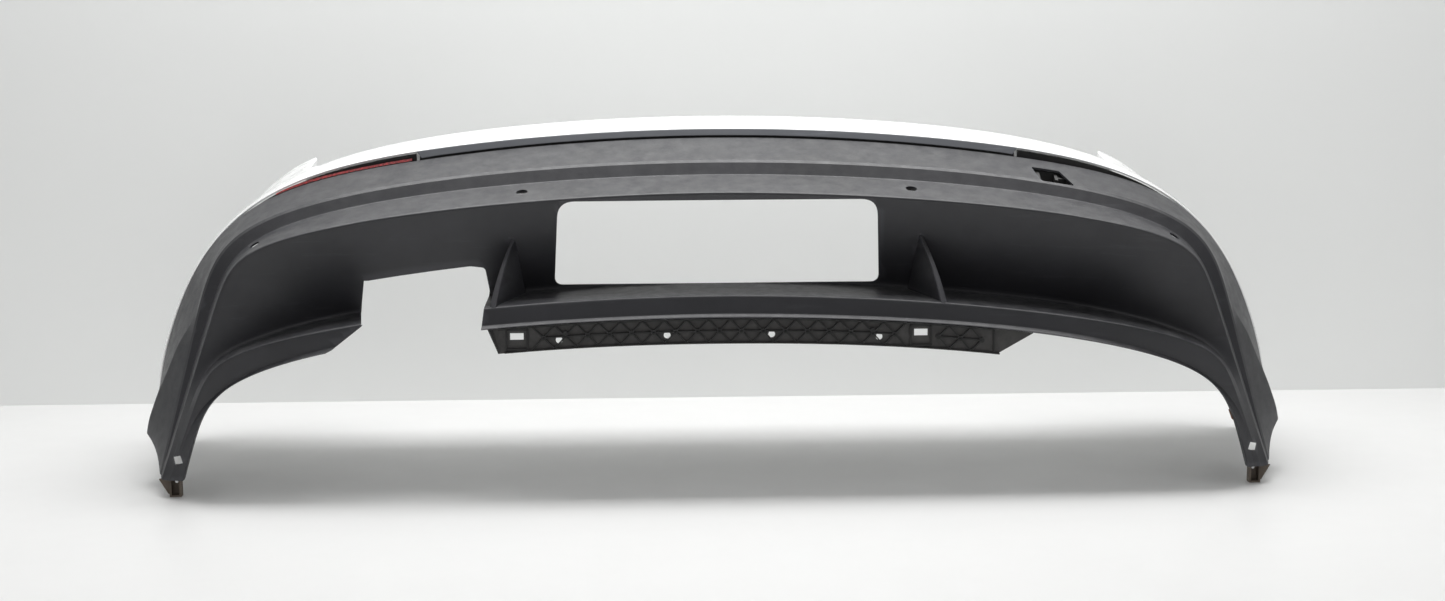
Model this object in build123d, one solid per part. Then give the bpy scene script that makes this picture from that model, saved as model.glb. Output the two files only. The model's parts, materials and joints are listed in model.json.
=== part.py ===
from build123d import *
from math import asin, cos, degrees, exp, hypot, log, pi, radians, sin, sqrt
import os

# Rear bumper cover, standing on its wing ends. Millimetres, +Z up (rearward on the vehicle),
# +X to the viewer's right, +Y away from the viewer (upward on the vehicle), origin on the floor.

# ---- driving sizes -------------------------------------------------------------------------
SKIN = 3.0                 # wall of both moulded skins
GAP = 0.4                  # clearance between neighbouring pieces
PIVOT_X = 450.0            # corner sections fan out from this point
PIVOT_Z = 130.0
CAP_SOFT = 7.0             # how softly a wing line reaches its widest x
HORN_X = 690.0             # inner edge of the corner horns
HORN_Y = 500.0
SILL_Y = 385.0             # top edge of the painted face in the middle
SILL_DEPTH = 104.0         # loading sill, forward from the painted face
WING_TOP_Y = 446.0         # top edge of the wing where it meets the floor
MIDDLE_Y = 246.0           # half way between the lip's bead and the horns' tops

# A feature line runs from the centre, round the corner and down the wing:
# half span at the crown, half span at the foot, crown z, foot z, crown sag,
# crown sharpness, corner sharpness, y in the middle, y at the foot, y exponent, widest x
LINES = {
    "crest": (825, 968, 574, 0, 91, 0.33, 0.32, 240, 240, 1, 918),
    "paint_edge": (845, 946, 560, 0, 98, 0.235, 0.49, 205, 200, 1, 913),
    "trim_edge": (842, 945, 546, 0, 103, 0.18, 0.46, 199, 195, 1, 911),
    "waist": (769, 886, 514, 5, 30, 1.02, 0.157, 124, 50, 1, 990),
    "step": (744, 886, 494, 7, 27, 1.08, 0.145, 112, 49, 1, 990),
    "ledge": (733, 880, 473, 17, 35, 1.25, 0.10, 40, 46, 1, 990),
    "lip_top": (764, 873, 318, 0, 45, 1.10, 0.14, 4, 44, 1.5, 990),
    "lip_foot": (781, 858, 290, 0, -26, 1.14, 0.49, 0, 43, 1.5, 990),
    "bead": (765, 850, 284, 0, 32, 0.86, 0.284, -8, 42, 1.5, 990),
}

# Sections of one half: fan angle (degrees) or a level on the wing,
# share and y of the flare crease, then the painted face's set at y 310, sill height and horn
# height, then how much of the recess depth is left
SECTIONS = [
    ("plan", 0, 0.50, 162, -5, -24, -60, 1.00),
    ("plan", 150, 0.50, 162, -5, -24, -58, 1.00),
    ("plan", 300, 0.50, 161, -5, -23, -52, 1.00),
    ("fan", 0, 0.50, 160, -4, -19, -38, 1.00),
    ("fan", 12, 0.48, 158, -3, -14, -22, 1.00),
    ("fan", 24, 0.46, 156, -1, -7, -4, 1.00),
    ("fan", 34, 0.44, 153, 0, 1, 13, 1.00),
    ("fan", 44, 0.40, 147, 1, 3, 13, 0.97),
    ("fan", 52, 0.33, 138, 0, 0, 6, 0.89),
    ("fan", 60, 0.23, 124, -1, -4, -4, 0.74),
    ("fan", 68, 0.14, 107, -2, -8, -12, 0.50),
    ("fan", 76, 0, 117, -3, -10, -18, 0.22),
    ("fan", 83, 0, 126, -3, -12, -22, 0.05),
    ("fan", 90, 0, 134, -4, -13, -24, 0.0),
    ("level", 105, 0, 137, -2, -8, -14, 0.0),
    ("level", 80, 0, 139, 2, 2, 2, 0.0),
    ("level", 52, 0, 140, 6, 12, 18, 0.0),
    ("level", 22, 0, 140, 8, 16, 24, 0.0),
    ("level", 3, 0, 140, 8, 17, 26, 0.0),
]
CREASE_X = 836.0           # flare crease: a straight run down and out over the wing
CREASE_Z = 272.0
CREASE_SLOPE = 0.48
CREASE_WIDEST = 921.0
RECESS_DEPTH = 111.0       # tail-pipe recess, behind the lip

BODY_PAINT = Color(0.95, 0.95, 0.95)
GREY = Color(0.27, 0.28, 0.30)
BLACK = Color(0.06, 0.06, 0.07)


# ---- feature lines -------------------------------------------------------------------------
def widest(x, limit):
    return limit - CAP_SOFT * log(1 + exp((limit - x) / CAP_SOFT))


def line_point(name, t):
    span0, span1, top, foot, sag, crown, corner, y0, y1, y_power, limit = LINES[name]
    swing = 1.2
    turn = cos(swing) ** corner
    if t <= 0.5:
        angle = 2 * t * swing
        drop = cos(angle) ** corner
        across = sin(angle)
    else:
        drop = turn * (2 - 2 * t)
        across = sqrt(max(0.0, 1 - drop ** (2 / corner)))
    out = across ** crown
    x = (span0 + (span1 - span0) * (1 - drop)) * out
    z = foot + (top - foot - sag * out * out) * drop
    y = y0 + (y1 - y0) * (1 - drop) ** y_power
    return widest(x, limit), y, z


def frame_of(section):
    kind, value = section[0], section[1]
    if kind == "plan":
        return value, PIVOT_Z, 0.0, 1.0
    if kind == "fan":
        return PIVOT_X, PIVOT_Z, sin(radians(value)), cos(radians(value))
    return PIVOT_X, value, 1.0, 0.0


def reach(name, section):
    """Distance along the section's ray, and y, where a feature line crosses it."""
    ox, oz, dx, dz = frame_of(section)
    low, high = 0.0, 1.0
    for _ in range(48):
        middle = (low + high) / 2
        x, _y, z = line_point(name, middle)
        if (x - ox) * dz - (z - oz) * dx > 0:
            high = middle
        else:
            low = middle
    x, y, z = line_point(name, low)
    return (x - ox) * dx + (z - oz) * dz, y


def crease(section):
    kind, _value, share, crease_y = section[:4]
    trim, trim_y = reach("trim_edge", section)
    waist, waist_y = reach("waist", section)
    if share:
        return waist + share * (trim - waist), crease_y
    ox, oz, dx, dz = frame_of(section)
    run = (CREASE_X + CREASE_SLOPE * (CREASE_Z - oz) - ox) / (dx + CREASE_SLOPE * dz)
    if kind == "level" or section[1] > 85:
        run = widest(ox + run * dx, CREASE_WIDEST) - ox
    return run, crease_y


def in_space(section, side, pairs):
    ox, oz, dx, dz = frame_of(section)
    return [(side * (ox + dx * r), y, oz + dz * r) for r, y in pairs]


def inset(pairs, wall):
    """The same open outline moved to its inner side by the wall thickness."""
    moved = []
    for i, (r, y) in enumerate(pairs):
        normals = []
        for j in (i - 1, i):
            if 0 <= j < len(pairs) - 1:
                dr = pairs[j + 1][0] - pairs[j][0]
                dy = pairs[j + 1][1] - pairs[j][1]
                size = hypot(dr, dy)
                normals.append((dy / size, -dr / size))
        if len(normals) == 1:
            normals.append(normals[0])
        (ar, ay), (br, by) = normals
        scale = wall / max(0.35, 1 + ar * br + ay * by)
        moved.append((r + (ar + br) * scale, y + (ay + by) * scale))
    return moved


def both_sides(sections):
    """Sections from the left wing's foot over the middle to the right wing's foot."""
    left = [(s, -1) for s in reversed(sections)]
    right = [(s, 1) for s in sections[1:]]
    return left + right


def loft_skin(sections, outline, wall, smooth, sides=None):
    wires = []
    for section, side in sides or both_sides(sections):
        outer = outline(section)
        inner = inset(outer, wall)
        outer = in_space(section, side, outer)
        inner = in_space(section, side, inner)
        if smooth:
            edges = [Edge.make_spline([Vector(*p) for p in outer])]
            edges.append(Edge.make_line(outer[-1], inner[-1]))
            edges.append(Edge.make_spline([Vector(*p) for p in reversed(inner)]))
            edges.append(Edge.make_line(inner[0], outer[0]))
            wires.append(Wire(edges))
        else:
            wires.append(Wire.make_polygon(outer + inner[::-1], close=True))
    return Solid.make_loft(wires, ruled=False)


def prism(points, direction, length):
    """A straight-sided cutter or plate from a flat outline."""
    face = Face(Wire.make_polygon([Vector(*p) for p in points], close=True))
    return Solid.extrude(face, Vector(*direction) * length)


def block(x0, x1, y0, y1, z0, z1):
    return Pos((x0 + x1) / 2, (y0 + y1) / 2, (z0 + z1) / 2) * Box(
        abs(x1 - x0), abs(y1 - y0), abs(z1 - z0)
    )


def single(shape):
    """The largest solid of a cut, so that no offcut is left behind."""
    return max(shape.solids(), key=lambda s: s.volume)


def write(name, shape, colour):
    """Every piece is drawn from the lip's plane, then set about the middle of the depth."""
    shape = shape.moved(Location((0, -MIDDLE_Y, 0)))
    shape.label = name
    shape.color = colour
    export_step(shape, f"parts/{name}.step")
    print(name, round(shape.volume))


os.makedirs("parts", exist_ok=True)

# ---- painted upper cover -------------------------------------------------------------------
def cover_outline(section):
    paint, paint_y = reach("paint_edge", section)
    crest, crest_y = reach("crest", section)
    set_310, set_sill, set_horn = section[4:7]
    return [
        (crest + set_horn, HORN_Y + 12),
        (crest + set_sill, SILL_Y),
        (crest + set_310, 310),
        (crest, crest_y),
        (paint + 0.62 * (crest - paint), 0.5 * (paint_y + crest_y)),
        (paint, paint_y),
    ]


cover = loft_skin(SECTIONS, cover_outline, SKIN, True)

# the painted face is low in the middle and rises into a horn under each tail lamp
cover -= block(-HORN_X, HORN_X, SILL_Y, HORN_Y + 60, 300, 640)
for side in (-1, 1):
    above = [
        (side * 600, HORN_Y + 60, 560),
        (side * 600, HORN_Y, 560),
        (side * 600, HORN_Y, 480),
        (side * 600, 470, 380),
        (side * 600, 455, 200),
        (side * 600, WING_TOP_Y, -20),
        (side * 600, HORN_Y + 60, -20),
    ]
    cover -= prism(above, (side, 0, 0), 500)

# the loading sill runs forward from the top of the painted face to an upstand
def sill_section(x):
    section = ("plan", abs(x))
    crest = PIVOT_Z + reach("crest", section)[0]
    top = crest - 24 + 22 * (abs(x) / HORN_X) ** 4
    return [
        (top - SILL_DEPTH, SILL_Y + 34),
        (top - SILL_DEPTH, SILL_Y + 12),
        (top - 12, SILL_Y + 3),
        (top - 1.5, SILL_Y - 5),
    ]


sill_wires = []
for x in (-690, -600, -450, -300, -150, 0, 150, 300, 450, 600, 690):
    outer = sill_section(x)
    inner = inset(outer, SKIN)
    outline = outer + inner[::-1]
    sill_wires.append(Wire.make_polygon([Vector(x, y, z) for z, y in outline], close=True))
cover += Solid.make_loft(sill_wires, ruled=False)

# cheeks close the ends of the sill below the horns
for side in (-1, 1):
    crest = PIVOT_Z + reach("crest", ("plan", HORN_X))[0]
    cheek = [
        (side * HORN_X, SILL_Y - 6, crest - 14),
        (side * HORN_X, HORN_Y, crest + 10),
        (side * HORN_X, HORN_Y, crest - 20),
        (side * HORN_X, SILL_Y + 34, crest - 112),
        (side * HORN_X, SILL_Y + 9, crest - 104),
    ]
    cover += prism(cheek, (side, 0, 0), SKIN)

# wheel arch: the front edge of both skins, seen from the side
ARCH = [
    (-60, 28), (44, 28), (60, 36), (80, 51), (110, 71), (140, 84), (172, 93), (205, 96),
    (250, 93), (300, 83), (345, 66), (385, 40), (415, 0),
]
arch_face = [(-1000, y, z) for y, z in ARCH] + [(-1000, 415, -30), (-1000, -60, -30)]
arch_tool = prism(arch_face, (1, 0, 0), 2000)
cover -= arch_tool
cover -= block(-1000, 1000, 0, 600, -40, 0)

# screw holes through the upstand of the sill
SILL_HOLES = [-560, -336, -112, 112, 336, 560]
SILL_HOLE_R = 3.5
for x in SILL_HOLES:
    z, y = sill_section(x)[1]
    cover -= Pos(x, y + 11, z) * Cylinder(SILL_HOLE_R, 30)
cover = single(cover)
write("upper_cover", cover, BODY_PAINT)

# ---- grained lower valance -----------------------------------------------------------------
def valance_outline(section):
    trim, trim_y = reach("trim_edge", section)
    flare, flare_y = crease(section)
    waist, waist_y = reach("waist", section)
    step, step_y = reach("step", section)
    ledge, ledge_y = reach("ledge", section)
    top, top_y = reach("lip_top", section)
    foot, foot_y = reach("lip_foot", section)
    bead, bead_y = reach("bead", section)
    left = section[7]
    if left > 0:
        root = top + 3 + 6 * (1 - left)
        root_y = top_y + RECESS_DEPTH * left
    else:
        root = 0.55 * top + 0.45 * ledge
        root_y = 0.55 * top_y + 0.45 * ledge_y
    return [
        (trim - 9, trim_y + 3),
        (trim, trim_y),
        (flare, flare_y),
        (waist + 2.2, waist_y + 3.6),
        (waist - 1.8, waist_y - 1),
        (step, step_y),
        (ledge, ledge_y),
        (root, root_y),
        (top, top_y),
        (foot, foot_y),
        (bead, bead_y),
        (bead - 1, bead_y + 14),
    ]


GREY_SECTIONS = SECTIONS[:-1]
valance = loft_skin(GREY_SECTIONS, valance_outline, SKIN, False)
valance -= arch_tool

# rectangular opening through the recess wall
OPENING_TOP = 461.0
OPENING_FOOT = 321.0
OPENING_HALF_TOP = 248.0
OPENING_HALF_FOOT = 258.0
opening = Polygon(
    (-OPENING_HALF_TOP, OPENING_TOP),
    (-OPENING_HALF_FOOT, OPENING_FOOT),
    (OPENING_HALF_FOOT, OPENING_FOOT),
    (OPENING_HALF_TOP, OPENING_TOP),
    align=None,
)
opening = fillet(opening.vertices().sort_by(Axis.Y)[2:], 28)
opening = fillet(opening.vertices().sort_by(Axis.Y)[:2], 13)
opening = extrude(Plane.XZ * opening, amount=170, both=True)
valance -= opening

# tail-pipe cut-out on the left, down through the lip
PIPE_CUT = [
    (-553, 333), (-500, 341), (-440, 349), (-389, 355), (-372, 355), (-366, 350), (-361, 313),
    (-364, 290), (-368, 262), (-368, 180), (-700, 180), (-640, 222), (-612, 232), (-596, 240),
    (-547, 278),
]
valance = single(valance - prism([(x, -60, z) for x, z in PIPE_CUT], (0, 1, 0), 240))
# its left edge leans outward from the lip to the recess wall
NOTCH_LEAN = [(-554, 125, 336.4), (-569, 120, 311), (-551, 2, 314)]
valance = single(valance - prism(NOTCH_LEAN, (1, 0, 0), 40))

# towing-eye opening on the right, straight in along the vehicle
TOW_HOLE = [(509, 169), (555, 169), (572, 123), (519, 123)]
valance -= prism([(x, y, 440) for x, y in TOW_HOLE], (0, 0, 1), 120)

# parking-sensor holes, square to the ledge
SENSORS = {
    "inner_left": (-305, 80, 471, -305),
    "inner_right": (305, 80, 471, 305),
    "outer_left": (-722, 80, 391, -722),
    "outer_right": (722, 80, 391, 722),
}
SENSOR_R = 9.0


def sensor_plane(name):
    x, y, z, _ = SENSORS[name]
    lean = 34 if "outer" in name else 4
    axis = Vector(sin(radians(lean)) * (1 if x > 0 else -1), -0.27, cos(radians(lean)))
    return Plane(origin=(x, y, z), x_dir=(0, 1, 0.27), z_dir=axis)


for name in SENSORS:
    valance -= sensor_plane(name) * Cylinder(SENSOR_R + 0.2, 60)

# square clip windows in the wheel-arch flange
WINDOW = 13.0
for side in (-1, 1):
    hole = Pos(side * 846, 50, 62) * Rot(0, side * 17, 0) * Box(WINDOW, 80, WINDOW)
    valance -= hole

# strakes tie the recess wall to the lip on both sides of the opening
for side in (-1, 1):
    strake = [
        (side * 319, 72, 402),
        (side * 350, 5.5, 301.5),
        (side * 306, 110, 307.5),
    ]
    a, b, c = [Vector(*p) for p in strake]
    normal = (b - a).cross(c - a).normalized()
    corners = [a - normal * 4, b - normal * 4, c - normal * 4]
    valance += prism([tuple(p) for p in corners], tuple(normal), 8)
valance = single(valance)

# written as abutting solids, split along the nose of the ledge and across the body, so that
# no solid bridges an opening
nose = []
for section, side in both_sides(GREY_SECTIONS):
    nose += in_space(section, side, [(reach("ledge", section)[0] - 4, -60)])
inner_side = prism(nose + [(900, -60, -40), (-900, -60, -40)], (0, 1, 0), 500)
SPLITS = [-1000, -800, -640, -548, -369, -236, 236, 369, 521, 551, 640, 800, 1000]
pieces = []
for part in (valance & inner_side, valance - inner_side):
    for x0, x1 in zip(SPLITS, SPLITS[1:]):
        pieces += (part & block(x0, x1, -100, 400, -50, 700)).solids()
pieces = [piece for piece in pieces if piece.volume > 40]
print("valance solids", len(pieces), round(valance.volume), round(sum(p.volume for p in pieces)))
write("lower_valance", Compound(children=pieces), GREY)


# ---- strips that bend with the body --------------------------------------------------------
def strip(sections, sides, corners):
    """A bar along the body whose four-sided section is given per station as (r, y) pairs."""
    wires = []
    for section, side in zip(sections, sides):
        points = in_space(section, side, corners(section))
        wires.append(Wire.make_polygon(points, close=True))
    return Solid.make_loft(wires, ruled=False)


def edges_at(section):
    paint, paint_y = reach("paint_edge", section)
    trim, trim_y = reach("trim_edge", section)
    return paint, paint_y, trim, trim_y


trim_stations = [-476, -300, -150, 0, 150, 300, 488]
across = [("plan", abs(x)) for x in trim_stations]
across_sides = [1 if x >= 0 else -1 for x in trim_stations]


def trim_corners(section):
    paint, paint_y, trim, trim_y = edges_at(section)
    return [
        (trim + 3, trim_y + 0.3),
        (paint - 1.2, paint_y - 1.9),
        (paint - 1.2, paint_y + 0.1),
        (trim + 3, trim_y + 3.3),
    ]


centre_trim = strip(across, across_sides, trim_corners)
# slanted ends follow the ends of the reflector slots
for side, end in ((-1, 482), (1, 494)):
    wedge = [
        (side * end, 150, 540),
        (side * (end - 12), 150, 540),
        (side * end, 150, 516),
    ]
    centre_trim -= prism(wedge, (0, 1, 0), 100)
write("centre_trim_strip", single(centre_trim), GREY)


def carrier_corners(section):
    paint, paint_y, trim, trim_y = edges_at(section)
    low = trim - 7
    high = max(paint - 4.6, low + 3)
    return [(low, 208.6), (high, 208.6), (high, 211.6), (low, 211.6)]


write("centre_trim_carrier", strip(across, across_sides, carrier_corners), BLACK)

# black carriers fill both reflector slots round the corners
for side, inner_end, name in (
    (-1, 481, "reflector_carrier_left"), (1, 493, "reflector_carrier_right"),
):
    slot = [("plan", inner_end), ("fan", 12), ("fan", 24), ("fan", 34), ("fan", 42), ("fan", 49)]
    write(name, strip(slot, [side] * len(slot), carrier_corners), BLACK)


def lens_corners(section):
    paint, paint_y, trim, trim_y = edges_at(section)
    high = min(trim + 4.2, paint - 3.6)
    return [
        (trim + 0.8, trim_y + 1.2),
        (high, trim_y + 3.4),
        (high, trim_y + 8.0),
        (trim + 0.8, trim_y + 8.0),
    ]


lens_run = [("plan", 488), ("fan", 12), ("fan", 24), ("fan", 34), ("fan", 38)]
lens = strip(lens_run, [-1] * len(lens_run), lens_corners)
write("reflector_lens_left", lens, Color(0.55, 0.05, 0.06))

# ---- parking-sensor holders ----------------------------------------------------------------
HOLDER_R = 14.0
HOLDER_LENGTH = 24.0
for name in SENSORS:
    back = 7.5 if "inner" in name else 9.5
    holder = Pos(0, 0, -back - HOLDER_LENGTH / 2) * Cylinder(HOLDER_R, HOLDER_LENGTH)
    for turn in (90, 270):
        holder += Rot(0, 0, turn) * block(9, 17.5, -5, 5, -back - 16, -back - 6)
    holder -= Cylinder(SENSOR_R, 120)
    write(f"sensor_holder_{name}", sensor_plane(name) * holder, BLACK)

# ---- ribbed lower strip behind the lip -----------------------------------------------------
STRIP_FRONT = 8.0
STRIP_WALL = 2.6
STRIP_DROP = 42.0
RIB_DEEP = 4.0
RIB_WIDE = 1.8
RIB_PITCH = 34.0


def bead_z(x):
    section = ("plan", abs(x))
    return PIVOT_Z + reach("bead", section)[0]


def strip_point(x, share):
    top = bead_z(x) - 2.4
    foot = bead_z(x) - STRIP_DROP
    return foot + (top - foot) * share


top_xs = [-358, -250, -125, 0, 125, 250, 375, 489]
foot_xs = [-342, -250, -125, 0, 125, 250, 350, 432]
top_edge = Edge.make_spline([Vector(x, STRIP_FRONT, strip_point(x, 1)) for x in top_xs])
foot_edge = Edge.make_spline([Vector(x, STRIP_FRONT, strip_point(x, 0)) for x in foot_xs])
left_end = Edge.make_line(foot_edge @ 0, top_edge @ 0)
right_end = Edge.make_line(top_edge @ 1, foot_edge @ 1)
web_face = Face(Wire([top_edge, right_end, foot_edge, left_end]))
web = Solid.extrude(web_face, Vector(0, STRIP_WALL, 0))


def rib(x0, share0, x1, share1):
    z0 = strip_point(x0, share0)
    z1 = strip_point(x1, share1)
    run = hypot(x1 - x0, z1 - z0)
    bar = Box(run, RIB_DEEP, RIB_WIDE)
    angle = degrees(asin((z1 - z0) / run))
    centre = ((x0 + x1) / 2, STRIP_FRONT - RIB_DEEP / 2 + 0.2, (z0 + z1) / 2)
    return Pos(*centre) * Rot(0, -angle, 0) * bar


ribs = []
FLANGE_CLIPS = [-313, 313]
nodes = [x * RIB_PITCH for x in range(-7, 13)]
nodes = [x for x in nodes if all(abs(x - c) > 22 for c in FLANGE_CLIPS)]
for x in nodes:
    for dx, share in ((17, 0.98), (17, 0.02)):
        for way in (-1, 1):
            if -300 < x + way * dx < 428 and abs(x + way * dx - 313) > 16:
                ribs.append(rib(min(x, x + way * dx), 0.5 if way > 0 else share,
                                max(x, x + way * dx), share if way > 0 else 0.5))
    if x + RIB_PITCH in nodes:
        ribs.append(rib(x, 0.5, x + RIB_PITCH, 0.5))
    boss = Rot(90, 0, 0) * Cylinder(4.2, RIB_DEEP)
    ribs.append(Pos(x, STRIP_FRONT - RIB_DEEP / 2 + 0.2, strip_point(x, 0.5)) * boss)
for x in FLANGE_CLIPS:
    frame = block(x - 16, x + 16, STRIP_FRONT - RIB_DEEP, STRIP_FRONT + 0.2,
                  strip_point(x, 0.49) - 9, strip_point(x, 0.76) + 5.5)
    frame -= block(x - 13.4, x + 13.4, 0, STRIP_FRONT + 5,
                   strip_point(x, 0.49) - 6.4, strip_point(x, 0.76) + 3.4)
    ribs.append(frame)
flange = web + ribs
for x in FLANGE_CLIPS:
    flange -= block(x - 10.5, x + 10.5, -20, 30, strip_point(x, 0.49), strip_point(x, 0.76))
FLANGE_HOLES = [-248, -81, 81, 248]
for x in FLANGE_HOLES:
    hole = Rot(90, 0, 0) * Cylinder(5.3, 60)
    flange -= Pos(x, STRIP_FRONT, strip_point(x, 0.36)) * hole
write("lower_ribbed_strip", single(flange), BLACK)

# ---- towing-eye pocket behind its opening --------------------------------------------------
def tow_pocket():
    outer = [(503, 177), (562, 177), (578, 126.5), (512, 126.5)]
    inner = [(506, 174), (559.5, 174), (574, 129.5), (515.5, 129.5)]
    shell = prism([(x, y, 440) for x, y in outer], (0, 0, 1), 90)
    shell -= prism([(x, y, 430) for x, y in inner], (0, 0, 1), 110)
    for x in (520, 549):
        shell += block(x - 2.5, x + 2.5, 155, 175.5, 440, 520)
    shell += block(549, 566, 160, 163, 440, 520)
    skin = Plane(origin=(540, 146, 473), x_dir=(1, 0, -0.17), z_dir=(0.17, -0.5, 1))
    return single(shell - skin * Pos(0, 0, 60) * Box(300, 300, 120))


write("tow_eye_pocket", tow_pocket(), BLACK)

# ---- end tabs at the foot of each wheel-arch flange ----------------------------------------
for side, name in ((-1, "arch_tab_left"), (1, "arch_tab_right")):
    tab = block(846, 864, 56.5, 59.5, 0, 50)
    tab += block(846, 849, 45, 57, 0, 30)
    tab += block(861, 864, 45, 57, 0, 30)
    tab += block(846, 864, 45, 57, 0, 2.5)
    tab += prism([(863, 54, 30), (882, 54, 27), (868, 54, 3), (863, 54, 3)], (0, 1, 0), 3)
    tab -= Pos(855, 60, 22) * Rot(90, 0, 0) * Cylinder(2.8, 40)
    if side < 0:
        tab = mirror(tab, about=Plane.YZ)
    write(name, tab, Color(0.16, 0.14, 0.12))

# ---- spring-steel U nuts on the inner edge of each flange ----------------------------------
for side, nut_x, name in ((-1, 819.5, "flange_nut_left"), (1, 813.7, "flange_nut_right")):
    clip = block(-6, 6, 0, 1, -8, 8)
    clip += block(-6, 6, 5, 6, -8, 8)
    clip += block(-6, -5, 0, 6, -8, 8)
    clip += Pos(0, 8, 0) * Rot(90, 0, 0) * Cylinder(4, 5)
    clip -= Rot(90, 0, 0) * Cylinder(2.1, 60)
    clip = Pos(nut_x, 26.2, 117) * Rot(0, -20, 0) * clip
    if side < 0:
        clip = mirror(clip, about=Plane.YZ)
    write(name, clip, Color(0.45, 0.25, 0.14))

# ---- retaining pieces under the sill and along the wings -----------------------------------
retainer_wires = []
for x in (-620, -450, -300, -150, 0, 150, 300, 450, 620):
    z, y = sill_section(x)[1]
    points = [(z + 5, y - 4.5), (z + 34, y - 7.2), (z + 34, y - 9.2), (z + 5, y - 6.5)]
    retainer_wires.append(Wire.make_polygon([Vector(x, b, a) for a, b in points], close=True))
retainer = Solid.make_loft(retainer_wires, ruled=False)
write("sill_retainer", retainer, BLACK)

for side, name in ((-1, "side_guide_left"), (1, "side_guide_right")):
    guide_sections = [("level", 104), ("level", 118), ("fan", 90), ("fan", 83), ("fan", 76)]

    def guide_corners(section):
        crest = reach("crest", section)[0]
        return [(crest - 27, 418), (crest - 27, 440), (crest - 31, 440), (crest - 31, 418)]

    guide = strip(guide_sections, [side] * len(guide_sections), guide_corners)
    write(name, guide, BLACK)

for side, name in ((-1, "lamp_bracket_left"), (1, "lamp_bracket_right")):
    bracket = block(704, 760, 440, 443, 392, 428)
    bracket += block(704, 707, 400, 443, 392, 428)
    bracket -= Pos(732, 440, 410) * Rot(90, 0, 0) * Cylinder(4, 40)
    if side < 0:
        bracket = mirror(bracket, about=Plane.YZ)
    write(name, bracket, BLACK)

# ---- fasteners -----------------------------------------------------------------------------
clips = []
for x in (-430, -310, -190, -65, 65, 190, 310, 430):
    trim, trim_y = reach("trim_edge", ("plan", abs(x)))
    z = PIVOT_Z + trim
    clip = block(x - 9, x + 9, 212.4, 214.4, z - 22, z - 2)
    clip += block(x - 3, x + 3, 212.4, 222, z - 16, z - 13)
    clip += block(x - 3, x + 3, 212.4, 222, z - 9, z - 6)
    clips.append(clip)
write("joining_clips", Compound(children=clips), Color(0.5, 0.5, 0.52))
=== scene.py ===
import bpy
import bmesh
import json
from math import atan2, cos, degrees, exp, hypot, log, pi, radians, sin, sqrt, tan
from mathutils import Matrix, Vector


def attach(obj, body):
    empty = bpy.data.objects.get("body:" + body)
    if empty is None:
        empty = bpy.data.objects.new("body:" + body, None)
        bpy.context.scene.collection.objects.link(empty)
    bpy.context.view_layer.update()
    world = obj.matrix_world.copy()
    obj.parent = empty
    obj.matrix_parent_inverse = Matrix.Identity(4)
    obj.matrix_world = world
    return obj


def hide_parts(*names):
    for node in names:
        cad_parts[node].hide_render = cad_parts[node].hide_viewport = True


# The two skins, the centre trim and the ribbed strip are drawn again here. Every other piece is
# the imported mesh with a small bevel.
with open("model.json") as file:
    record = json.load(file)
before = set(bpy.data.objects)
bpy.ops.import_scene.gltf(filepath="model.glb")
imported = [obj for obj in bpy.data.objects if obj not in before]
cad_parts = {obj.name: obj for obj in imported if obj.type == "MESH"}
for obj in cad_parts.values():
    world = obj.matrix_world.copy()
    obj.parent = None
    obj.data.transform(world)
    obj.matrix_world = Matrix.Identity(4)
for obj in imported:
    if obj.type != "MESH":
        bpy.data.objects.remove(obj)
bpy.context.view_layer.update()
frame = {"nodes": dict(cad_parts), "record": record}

# The body lines below are drawn in millimetres from the lip's plane, +Z up, and set about the
# middle of the depth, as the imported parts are.
MIDDLE_Y = 246.0
SKIN = 3.0
PIVOT_X, PIVOT_Z = 450.0, 130.0
CAP_SOFT = 7.0
HORN_X, HORN_Y = 690.0, 500.0
SILL_Y, SILL_DEPTH = 385.0, 104.0
RECESS_DEPTH = 111.0
DEGREE_RUN = 7.5            # run along the body that stands for one degree of a fan

# A body line runs from the centre, round the corner and down the wing: half span at the crown
# and at the foot, crown z, foot z, crown sag, crown sharpness, corner sharpness, y in the middle,
# y at the foot, y exponent, widest x
LINES = {
    "crest": (825, 968, 574, 0, 91, 0.33, 0.32, 240, 240, 1, 918),
    "paint_edge": (845, 946, 560, 0, 98, 0.235, 0.49, 205, 200, 1, 913),
    "trim_edge": (842, 945, 546, 0, 103, 0.18, 0.46, 199, 195, 1, 911),
    "waist": (769, 886, 514, 5, 30, 1.02, 0.157, 124, 50, 1, 990),
    "step": (744, 886, 494, 7, 27, 1.08, 0.145, 112, 49, 1, 990),
    "ledge": (733, 880, 473, 17, 35, 1.25, 0.10, 40, 46, 1, 990),
    "lip_top": (764, 873, 318, 0, 45, 1.10, 0.14, 4, 44, 1.5, 990),
    "lip_foot": (781, 858, 290, 0, -26, 1.14, 0.49, 0, 43, 1.5, 990),
    "bead": (765, 850, 284, 0, 32, 0.86, 0.284, -8, 42, 1.5, 990),
}
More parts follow.
